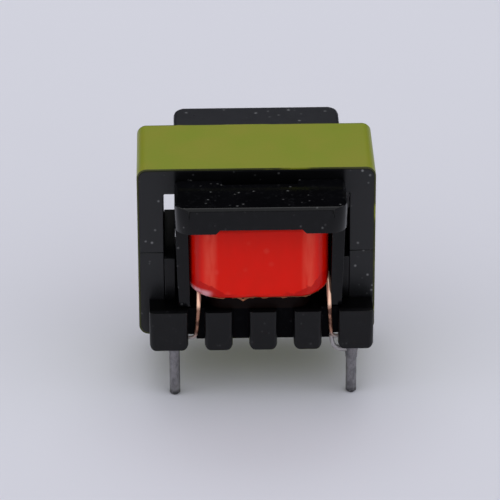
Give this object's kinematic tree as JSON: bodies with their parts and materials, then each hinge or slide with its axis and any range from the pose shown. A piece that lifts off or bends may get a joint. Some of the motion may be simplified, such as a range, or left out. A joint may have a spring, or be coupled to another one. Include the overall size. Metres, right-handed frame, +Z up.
{
  "type": "pcb transformer",
  "caption": "Small through-hole ferrite transformer: E core pair bound with tape, vertical bobbin, insulating cover, taped coil, copper leads on tinned pins.",
  "frame": {"origin": "centre of the pin grid on the seating plane, which the bobbin's teeth stand on", "axes": "+X along the pin rows to the right, +Y from front to back, +Z up away from the board"},
  "size_m": [0.0133, 0.0134, 0.0137],
  "materials": {
    "ferrite": "satin",
    "core_film": "satin",
    "phenolic": "satin",
    "coil_film": "satin",
    "copper": "satin",
    "tinned": "satin"
  },
  "bodies": {
    "root": {"core_upper": "ferrite", "core_lower": "ferrite", "core_tape": "core_film", "bobbin": "phenolic", "winding_cover": "phenolic", "primary_winding": "copper", "interlayer_tape": "coil_film", "secondary_winding": "copper", "outer_tape": "coil_film", "front_left_pin": "tinned", "front_right_pin": "tinned", "rear_left_pin": "tinned", "rear_right_pin": "tinned", "front_left_lead": "copper", "front_right_lead": "copper", "rear_left_lead": "copper", "rear_right_lead": "copper", "front_left_solder": "tinned", "front_right_solder": "tinned", "rear_left_solder": "tinned", "rear_right_solder": "tinned"}
  },
  "joints": []
}
